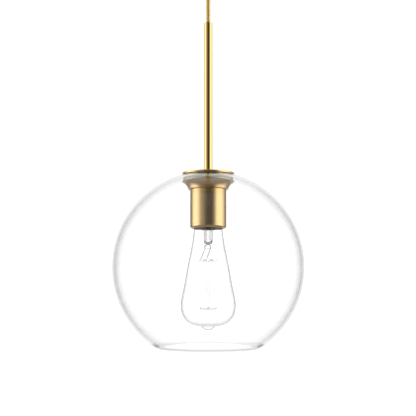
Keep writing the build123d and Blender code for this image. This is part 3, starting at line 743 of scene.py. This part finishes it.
# Painted shade: the pale grey-green edge colour darkens the envelope where it is seen edge on.
thin_glass = clear_glass_finish(
    "bulb_clear_glass", (0.70, 0.76, 0.73), 5.0, 0.02, GLASS_BEND, (0.80, 0.84, 0.80), fall=10.0
)
ENVELOPE = np.array([
    (12.3, 52.0), (12.4, 46.5), (14.4, 41.2), (16.2, 31.0), (18.3, 18.1), (22.6, -3.2),
    (26.2, -23.0), (29.0, -39.5), (27.2, -50.6), (20.6, -58.8), (10.8, -62.2),
]) * MM + np.array([0, GLOBE_Z])
ENVELOPE_WALL = 0.7 * MM
NUB_R = 7.85 * MM
NUB_Z = GLOBE_Z - 59.05 * MM
NUB_HALF_ANGLE = math.radians(63)


def smooth_line(knots, steps):
    """Points of the natural cubic spline through the knots, by distance along them: the second
    derivatives solve the usual three-diagonal system, then each span is its cubic."""
    s = np.concatenate([[0], np.cumsum(np.linalg.norm(np.diff(knots, axis=0), axis=1))])
    gap = np.diff(s)
    rise = np.diff(knots, axis=0) / gap[:, None]
    system = np.eye(len(s))
    inside = np.arange(1, len(s) - 1)
    system[inside, inside - 1] = gap[:-1]
    system[inside, inside] = 2 * (gap[:-1] + gap[1:])
    system[inside, inside + 1] = gap[1:]
    pull = np.zeros_like(knots)
    pull[1:-1] = 6 * np.diff(rise, axis=0)
    bend = np.linalg.solve(system, pull)
    at = np.linspace(0, s[-1], steps)
    i = np.clip(np.searchsorted(s, at, side="right") - 1, 0, len(gap) - 1)
    a, b, h = (s[i + 1] - at)[:, None], (at - s[i])[:, None], gap[i][:, None]
    return (
        (bend[i] * a ** 3 + bend[i + 1] * b ** 3) / (6 * h)
        + (knots[i] / h - bend[i] * h / 6) * a
        + (knots[i + 1] / h - bend[i + 1] * h / 6) * b
    )


def tip_arc(radius, steps):
    """The sealed tip, part of a small ball on the axis, from its side down to its lowest point."""
    t = np.linspace(NUB_HALF_ANGLE, 0, steps)
    return np.stack([radius * np.sin(t), NUB_Z - radius * np.cos(t)], -1)


side = smooth_line(np.concatenate([ENVELOPE, tip_arc(NUB_R, 2)[:1]]), 150)
along = np.gradient(side, axis=0)
along /= np.hypot(*along.T)[:, None]
side_inside = side + ENVELOPE_WALL * along[:, ::-1] * [1, -1]
envelope_outline = np.concatenate([
    side[:-1], tip_arc(NUB_R, 14), tip_arc(NUB_R - ENVELOPE_WALL, 14)[::-1], side_inside[-2::-1],
])
spun(
    "bulb_envelope", envelope_outline, "bulb", thin_glass, ["bulb_glass"],
    around=160, sharp=60,
)


# ---- Bulb mount ---------------------------------------------------------------------------
# Glass flare tube, fused flat round the wires at its lower end, with the exhaust tube inside
# it. A glass rod goes on down the middle, with a button at each end that holds the hooks.

FLARE_R = 4.75 * MM
FLARE_RIM_R = 10.6 * MM
FLARE_WALL = 0.8 * MM
flare_low, flare_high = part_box("bulb_flare")
FLARE_FOOT_Z = GLOBE_Z + 43 * MM
SHOULDER_Z = GLOBE_Z + 27.6 * MM
PRESS_TOP_Z = SHOULDER_Z - 3 * MM
PRESS_HALF = np.array([4.0, 1.8]) * MM
LEAD_GLASS_TINT = (0.42, 0.50, 0.44)
# Painted shade: the edge colours darken the flare tube and, almost to black, the rod where their
# glass is seen edge on.
mount_glass = clear_glass_finish(
    "bulb_mount_glass", LEAD_GLASS_TINT, 8.0, 0.01, 1.36, (0.30, 0.37, 0.32), fall=4.0
)
rod_glass = clear_glass_finish(
    "bulb_rod_glass", LEAD_GLASS_TINT, 4.0, 0.01, 1.5, (0.02, 0.04, 0.03), fall=1.6
)


def pressed_tube(around):
    """The flare's outside, then its inside. Each ring is a superellipse: a circle in the tube,
    and a flat near-rectangle in the press, with the change spread over three millimetres."""
    z = np.concatenate([
        np.linspace(flare_high.z, FLARE_FOOT_Z + MM, 16), np.linspace(FLARE_FOOT_Z, SHOULDER_Z, 12),
        np.linspace(SHOULDER_Z, PRESS_TOP_Z, 12)[1:], np.linspace(PRESS_TOP_Z, flare_low.z, 10)[1:],
    ])
    widen = np.clip((z - FLARE_FOOT_Z) / (flare_high.z - FLARE_FOOT_Z), 0, 1) ** 2
    tube_r = FLARE_R + (FLARE_RIM_R - FLARE_R) * widen
    flat = np.clip((SHOULDER_Z - z) / (SHOULDER_Z - PRESS_TOP_Z), 0, 1)
    flat = flat * flat * (3 - 2 * flat)
    low = np.clip(1 - (z - flare_low.z) / (1.2 * MM), 0, 1)
    tuck = 1 - 0.25 * low ** 2
    half_x = (tube_r * (1 - flat) + PRESS_HALF[0] * flat) * tuck
    half_y = (tube_r * (1 - flat) + PRESS_HALF[1] * flat) * tuck
    power = 2 + 2.5 * flat
    angle = np.linspace(0, TURN, around, endpoint=False)[None, :]
    c, s = np.cos(angle), np.sin(angle)
    x = half_x[:, None] * np.sign(c) * np.abs(c) ** (2 / power[:, None])
    y = half_y[:, None] * np.sign(s) * np.abs(s) ** (2 / power[:, None])
    outside = np.stack([x, y, z[:, None] + 0 * x], -1)
    foot = outside[-1:] * [0, 0, 1]
    kept = z >= SHOULDER_Z
    inside_r = np.maximum(tube_r[kept] - FLARE_WALL, 0)[::-1, None]
    inside_z = z[kept][::-1, None] + 0.5 * MM
    inside_z[-1] = flare_high.z
    inside = np.stack([inside_r * c, inside_r * s, inside_z + 0 * c], -1)
    floor = inside[:1] * [0, 0, 1] - [0, 0, 2.2 * MM]
    ring = inside[:1] * [0.7, 0.7, 1] - [0, 0, 1.2 * MM]
    return np.concatenate([outside, foot, floor, ring, inside])


FLARE_SIDES = 96
flare_rings = pressed_tube(FLARE_SIDES)
rows = len(flare_rings)
flare_faces = grid_faces(rows, FLARE_SIDES, row_loop=True, column_loop=True)
flare = add_piece(
    "flare_tube", flare_rings, flare_faces, "bulb", mount_glass, sharp=50
)
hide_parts("bulb_flare")

tube_low, tube_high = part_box("bulb_exhaust_tube")
EXHAUST_R = 2.1 * MM
EXHAUST_BORE_R = 1.5 * MM
spun(
    "exhaust_tube",
    section(
        (EXHAUST_BORE_R, tube_low.z, 0.2 * MM), (EXHAUST_R, tube_low.z, 0.2 * MM),
        (EXHAUST_R, tube_high.z, 0.2 * MM), (EXHAUST_BORE_R, tube_high.z, 0.2 * MM),
    ),
    "bulb", mount_glass, ["bulb_exhaust_tube"], around=48,
)

rod_low, rod_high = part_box("bulb_rod")
UPPER_BUTTON_Z = GLOBE_Z + 7.1 * MM
LOWER_BUTTON_Z = GLOBE_Z - 44.4 * MM
BUTTON_HALF = 1.4 * MM
ROD_R = 1.75 * MM
ROD_NECK_R = 0.6 * MM
rod_outline = section(
    (0, rod_high.z),
    (0, rod_low.z),
    (2.4 * MM, rod_low.z, 1.1 * MM),
    (2.4 * MM, LOWER_BUTTON_Z + BUTTON_HALF, 1.1 * MM),
    (ROD_R, LOWER_BUTTON_Z + BUTTON_HALF),
    (ROD_R, UPPER_BUTTON_Z - BUTTON_HALF),
    (2.65 * MM, UPPER_BUTTON_Z - BUTTON_HALF, 1.1 * MM),
    (2.65 * MM, UPPER_BUTTON_Z + BUTTON_HALF, 1.1 * MM),
    (ROD_NECK_R, UPPER_BUTTON_Z + BUTTON_HALF),
    (ROD_NECK_R, rod_high.z),
)
spun(
    "rod", np.maximum(rod_outline, [0, -9]), "bulb", rod_glass, ["bulb_rod"],
    around=48, sharp=60,
)


# ---- Wires in the bulb --------------------------------------------------------------------
# Nickel lead wires cross in the pressed glass and come out to the cage. Fine hooks with curled
# ends stand out from the two buttons, and one thin tungsten wire zigzags up and down on them.

wire_nickel, tap = finish("wire_nickel")
drawn_marks = grain(tap, 1200, (1, 1, 0.2))
shade(wire_nickel, tap, {
    "Base Color": drawn_marks.between((0.34, 0.33, 0.31), (0.50, 0.48, 0.45)),
    "Metallic": 1.0,
    "Roughness": 0.26 + drawn_marks * 0.16,
    "Normal": drawn_marks.bump(0.1, 0.00002),
})
tungsten, tap = finish("tungsten")
scale_marks = grain(tap, 2400)
shade(tungsten, tap, {
    "Base Color": scale_marks.between((0.20, 0.19, 0.18), (0.34, 0.32, 0.30)),
    "Metallic": 1.0,
    "Roughness": 0.35 + scale_marks * 0.2,
    "Normal": scale_marks.bump(0.15, 0.00001),
})


def wires(name, paths, sideways, radius, body, slot, material, nodes=(), sides=8):
    """Round wires along paths, all with the same number of points. A ring's two directions are
    the cross product of the path's direction with sideways, and that one's with the direction;
    the ring shrinks to a point at both ends."""
    paths, sideways = np.asarray(paths, float), np.asarray(sideways, float)
    ends = np.concatenate([paths[:, :1], paths, paths[:, -1:]], axis=1)
    ahead = np.gradient(paths, axis=1)
    ahead = np.concatenate([ahead[:, :1], ahead, ahead[:, -1:]], axis=1)
    ahead /= np.linalg.norm(ahead, axis=-1, keepdims=True)
    u = np.cross(ahead, sideways[:, None, :])
    u /= np.linalg.norm(u, axis=-1, keepdims=True)
    v = np.cross(ahead, u)
    size = np.full(ends.shape[1], radius)
    size[[0, -1]] = 0
    angle = np.linspace(0, TURN, sides, endpoint=False)
    ring = np.cos(angle)[:, None] * u[:, :, None] + np.sin(angle)[:, None] * v[:, :, None]
    points = ends[:, :, None] + size[None, :, None, None] * ring
    one = grid_faces(ends.shape[1], sides, column_loop=True)
    each = ends.shape[1] * sides
    faces = (one[None] + each * np.arange(len(paths))[:, None, None]).reshape(-1, 4)
    piece = add_piece(name, points, faces, body, material, sharp=70)
    if nodes:
        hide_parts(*nodes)


def eased(points, steps):
    """A smooth path through a few points."""
    return smooth_line(np.array(points, float) * MM + [0, 0, GLOBE_Z], steps)


PRESS_LOW = 19.3
lead_paths = [
    eased([(-3.3, 0, PRESS_LOW), (-4.9, 1.3, 16.0), (-7.2, 3.9, 10.2), (-8.1, 5.0, 8.1)], 30),
    eased([(2.2, 0, PRESS_LOW), (1.6, -2.2, 17.0), (-0.5, -7.6, 11.0), (-1.3, -9.6, 8.7)], 30),
]
wires(
    "lead_wires", lead_paths, [(0.85, 0.52, 0.1), (0.94, -0.34, 0.1)], 0.35 * MM, "bulb",
    "wire_nickel", wire_nickel, ["bulb_lead_wires"], sides=12,
)
tail_paths = [
    eased([(3.0, 0, 56.0), (3.0, 0.1, 44.0), (2.9, 0, 34.0), (3.0, 0, 27.8)], 30),
    eased([(-3.0, 0, 56.0), (-3.0, -0.1, 44.0), (-2.9, 0, 34.0), (-3.0, 0, 27.8)], 30),
]
wires(
    "lead_tails", tail_paths, [(0, 1, 0)] * 2, 0.3 * MM, "bulb", "wire_nickel", wire_nickel,
    sides=12,
)
pressed_paths = [
    eased([(3.0, 0, 27.6), (2.8, 0.2, 25.3), (-2.9, 0.2, 22.5), (-3.3, 0.1, 19.5)], 24),
    eased([(-3.0, 0, 27.6), (-2.8, -0.2, 25.3), (2.2, -0.2, 22.5), (2.2, -0.1, 19.5)], 24),
]
wires(
    "pressed_wires", pressed_paths, [(0, 1, 0)] * 2, 0.34 * MM, "bulb", "wire_nickel",
    wire_nickel, sides=12,
)

CAGE_R = 10.0
CURL_R = 0.55
HOOKS = 6
SPOKE = 360 / HOOKS
HOOK_R = 0.17 * MM


def hooks(height, start_r, phase, way):
    """Paths of hooks like spokes: straight out from a button, then three quarters of a small
    ring, upwards or downwards, that holds the filament."""
    run = np.linspace(start_r, CAGE_R - CURL_R, 12)
    t = np.linspace(-math.pi / 2, math.pi, 16)[1:]
    r = np.concatenate([run, CAGE_R - CURL_R + CURL_R * np.cos(t)])
    z = np.concatenate([0 * run, way * (CURL_R + CURL_R * np.sin(t))]) + height
    angle = np.radians(phase + SPOKE * np.arange(HOOKS))[:, None]
    paths = np.stack([r * np.cos(angle), r * np.sin(angle), z + 0 * angle], -1) * MM
    sideways = np.stack([-np.sin(angle), np.cos(angle), 0 * angle], -1)[:, 0]
    return paths + [0, 0, GLOBE_Z], sideways


UPPER, LOWER = 7.1, -44.4
wires("upper_hooks", *hooks(UPPER, 2.7, 0, -1), HOOK_R, "bulb", "wire_nickel", wire_nickel,
      ["upper_supports"])
wires("lower_hooks", *hooks(LOWER, 2.45, SPOKE / 2, 1), HOOK_R, "bulb", "wire_nickel",
      wire_nickel, ["lower_supports"])

STRANDS = 2 * HOOKS
FILAMENT_R = 0.018 * MM
k = np.arange(STRANDS)
high_angle = np.radians(SPOKE * ((k + 1) // 2))[:, None]
low_angle = np.radians(SPOKE / 2 + SPOKE * (k // 2))[:, None]
t = np.linspace(0, 1, 12)[None, :]
bow = CAGE_R - CURL_R + 0.25 * np.sin(math.pi * t)
strand_angle = high_angle * (1 - t) + low_angle * t
strand_z = (UPPER - CURL_R) * (1 - t) + (LOWER + CURL_R) * t
strand_paths = np.stack([
    bow * np.cos(strand_angle), bow * np.sin(strand_angle), strand_z + 0 * strand_angle
], -1) * MM + [0, 0, GLOBE_Z]
middle = strand_angle[:, 6]
wires(
    "filament_wire", strand_paths, np.stack([-np.sin(middle), np.cos(middle), 0 * middle], -1),
    FILAMENT_R, "bulb", "tungsten", tungsten, ["filament"], sides=6,
)


# ---- Ceiling fitting ----------------------------------------------------------------------
# Spun brass canopy held up to a steel bar by two studs with domed nuts. A brass gland through
# its middle grips the cord, and the leads go to a nylon block and an earth screw on the bar.

canopy_low, canopy_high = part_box("canopy")
CANOPY_R = 60 * MM
CANOPY_WALL = 1.2 * MM
CANOPY_HOLE_R = 5.15 * MM
CANOPY_ROUNDING = 3 * MM
canopy_floor = canopy_low.z + CANOPY_WALL
spun(
    "canopy_shell",
    section(
        (CANOPY_HOLE_R, canopy_low.z),
        (CANOPY_R, canopy_low.z, CANOPY_ROUNDING),
        (CANOPY_R, canopy_high.z, 0.4 * MM),
        (CANOPY_R - CANOPY_WALL, canopy_high.z, 0.4 * MM),
        (CANOPY_R - CANOPY_WALL, canopy_floor, CANOPY_ROUNDING - CANOPY_WALL),
        (CANOPY_HOLE_R, canopy_floor),
        steps=12,
    ),
    "ceiling_fitting", satin_brass, ["canopy"], around=256, sharp=35,
)

nut_low, nut_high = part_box("canopy_cap_nuts")
STUD_X = 30 * MM
STUD_R = 2 * MM
NUT_R = 5 * MM
for side, name in ((-1, "cap_nut_left"), (1, "cap_nut_right")):
    spun(
        name,
        np.maximum(section(
            (STUD_R + 0.05 * MM, nut_high.z),
            (NUT_R, nut_high.z, 0.4 * MM),
            (NUT_R, nut_low.z, 3 * MM),
            (0, nut_low.z),
            (0, nut_low.z + 2 * MM),
            (STUD_R + 0.05 * MM, nut_low.z + 2 * MM),
            steps=10,
        ), [0, -9]),
        "ceiling_fitting", polished_brass, ["canopy_cap_nuts"], around=64,
        x=side * STUD_X,
    )

grip_low, grip_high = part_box("grip_cap")
GRIP_R = 7.5 * MM
GRIP_BORE_R = 6.45 * MM
CORD_MOUTH_R = 2.8 * MM
GRIP_INNER_Z = grip_low.z + 4.5 * MM
FLUTES = 24
FLUTE_DEPTH = 0.28 * MM


def fluted(angle, radius, height):
    """Shallow flutes round the cap's straight side that die out at its two ends."""
    above, below = height - grip_low.z - 3.2 * MM, grip_high.z - height - 0.8 * MM
    end = np.clip(np.minimum(above, below) / MM, 0, 1)
    cut = -FLUTE_DEPTH * end * (0.5 + 0.5 * np.cos(FLUTES * angle))
    return np.where(radius > GRIP_R - 0.02 * MM, cut, 0)


grip_outline = section(
    (GRIP_BORE_R, grip_high.z),
    (GRIP_R, grip_high.z, 0.3 * MM),
    (GRIP_R, grip_low.z, 3 * MM),
    (CORD_MOUTH_R, grip_low.z, 0.5 * MM),
    (CORD_MOUTH_R, GRIP_INNER_Z),
    (GRIP_BORE_R, GRIP_INNER_Z),
    steps=12,
)
spun(
    "grip_cap_fluted", finer(grip_outline, grip_low.z, grip_high.z, 0.4 * MM), "ceiling_fitting",
    polished_brass, ["grip_cap"], around=240, wave=fluted, sharp=45,
)
give(satin_brass, "grip_body")
give(zinc_steel, "crossbar", "canopy_studs", "stud_nuts", "grip_washer", "grip_locknut",
     "terminal_screws", "block_screw")
give(green_screw, "ground_screw")
give(white_nylon, "grip_collet", "terminal_block")

LEADS = {
    "lead_black": ((0.012, 0.012, 0.013), (0.03, 0.03, 0.032), "live_lead"),
    "lead_white": ((0.72, 0.72, 0.69), (0.82, 0.82, 0.80), "neutral_lead"),
    "lead_green": ((0.03, 0.20, 0.06), (0.05, 0.30, 0.10), "ground_lead"),
}
for name, (dark, pale, lead) in LEADS.items():
    sheath, tap = finish(name)
    streaks = grain(tap, 800)
    shade(sheath, tap, {
        "Base Color": streaks.between(dark, pale),
        "Roughness": 0.3 + streaks * 0.15,
        "Normal": streaks.bump(0.1, 0.00003),
    })
    give(sheath, "canopy_" + lead, "cup_" + lead)


# ---- Floor and light ------------------------------------------------------------------------
# A pale floor far below, and an even white studio all round. What shines mirrors two tall
# bright panels at the sides, with the room dark behind the camera, paler behind the light, and
# dim above and below. The floor is looked at directly, and isn't mirrored.

FLOOR_Z = -3.8
FLOOR_HALF = 9
floor_mesh = bpy.data.meshes.new("floor")
corners = FLOOR_HALF * np.array([(-1, -1, 0), (1, -1, 0), (1, 1, 0), (-1, 1, 0)])
floor_mesh.from_pydata(corners + [0, 0, FLOOR_Z], [], [(0, 1, 2, 3)])
floor = bpy.data.objects.new("floor", floor_mesh)
scene.collection.objects.link(floor)
pale, tap = finish("pale_floor")
soft = grain(tap, 2)
shade(pale, tap, {
    "Base Color": soft.between((0.80, 0.80, 0.79), (0.84, 0.84, 0.83)),
    "Roughness": 0.7,
})
floor_mesh.materials.append(pale)
floor.visible_glossy = False
floor.visible_transmission = False

BACKDROP = 1.28
PANEL = 2.0
# Each pair is degrees to the right of the camera's side, and how bright the room is there.
ROOM = [
    (-180, 0.38), (-166, 0.36), (-154, 0.18), (-142, 0.10), (-128, 0.20), (-118, 0.42),
    (-106, 0.80), (-94, 1.00), (-78, 0.97), (-66, 0.72), (-56, 0.46), (-47, 0.25), (-34, 0.19),
    (-22, 0.12), (-13, 0.045), (0, 0.028), (22, 0.03), (31, 0.06), (39, 0.18), (47, 0.46),
    (57, 0.80), (68, 0.97), (92, 0.94), (106, 0.66), (118, 0.42), (130, 0.20), (142, 0.10),
    (154, 0.18), (166, 0.36), (180, 0.38),
]
CEILING_LEVEL = 0.22
GROUND_LEVEL = 0.11

# The sines of elevation, up and down, between which the room fades to its ceiling and ground.
CEILING_FADE = (0.5, 0.85)
GROUND_FADE = (0.25, 0.7)

# Light counts as held in a glass wall until it has gone through more surfaces than this, and
# only in part if it was turned back just once.
MOST_SURFACES = 3.5
ONCE_TURNED = 0.25

world = bpy.data.worlds.new("studio")
scene.world = world
world.use_nodes = True
world.node_tree.nodes.clear()
tap = Tap(world.node_tree)
way = tap.node("ShaderNodeTexCoord", output=0)
right = tap.node("ShaderNodeSeparateXYZ", {0: way}, output=0)
back = tap.node("ShaderNodeSeparateXYZ", {0: way}, output=1)
azimuth = tap.maths("ARCTAN2", right, -1.0 * back)
room = tap.node(
    "ShaderNodeValToRGB", {"Fac": azimuth / TURN + 0.5},
    stops=[((degrees + 180) / 360, (level,) * 3) for degrees, level in ROOM],
)
up = tap.node("ShaderNodeSeparateXYZ", {0: way}, output=2)
high = tap.node(
    "ShaderNodeMapRange",
    {"Value": up, "From Min": CEILING_FADE[0], "From Max": CEILING_FADE[1]},
    interpolation_type="SMOOTHSTEP",
)
deep = tap.node(
    "ShaderNodeMapRange",
    {"Value": -1.0 * up, "From Min": GROUND_FADE[0], "From Max": GROUND_FADE[1]},
    interpolation_type="SMOOTHSTEP",
)
level = room * (1 - high) + high * CEILING_LEVEL
level = level * (1 - deep) + deep * GROUND_LEVEL
bounces = tap.node("ShaderNodeLightPath", output="Glossy Depth")
through = tap.node("ShaderNodeLightPath", output="Is Transmission Ray")
surfaces = tap.node("ShaderNodeLightPath", output="Transmission Depth")
held = through * tap.maths("LESS_THAN", surfaces, MOST_SURFACES)
trapped = held * (ONCE_TURNED + (1 - ONCE_TURNED) * tap.maths("GREATER_THAN", bounces, 1.5))
mirrored = tap.maths("GREATER_THAN", bounces, 0.5) * (1 - trapped)
even = tap.node("ShaderNodeBackground", {"Color": (1, 1, 1, 1), "Strength": BACKDROP})
panels = tap.node("ShaderNodeBackground", {"Color": level, "Strength": PANEL})
sky = tap.node("ShaderNodeMixShader", {0: mirrored, 1: even, 2: panels})
tap.node("ShaderNodeOutputWorld", {"Surface": sky})
world.cycles.sampling_method = "NONE"

lamp = bpy.data.lights.new("overhead_panel", "AREA")
lamp.size = 2.0
lamp.energy = 12
overhead = bpy.data.objects.new("overhead_panel", lamp)
scene.collection.objects.link(overhead)
overhead.location = (0.6, -0.8, 2.2)
aim = Vector((0, 0, GLOBE_Z)) - overhead.location
overhead.rotation_euler = aim.to_track_quat("-Z", "Y").to_euler()
overhead.visible_camera = False
overhead.visible_glossy = False
overhead.visible_transmission = False

scene.view_settings.view_transform = "Standard"
scene.cycles.max_bounces = 48
scene.cycles.transmission_bounces = 24
scene.cycles.glossy_bounces = 40
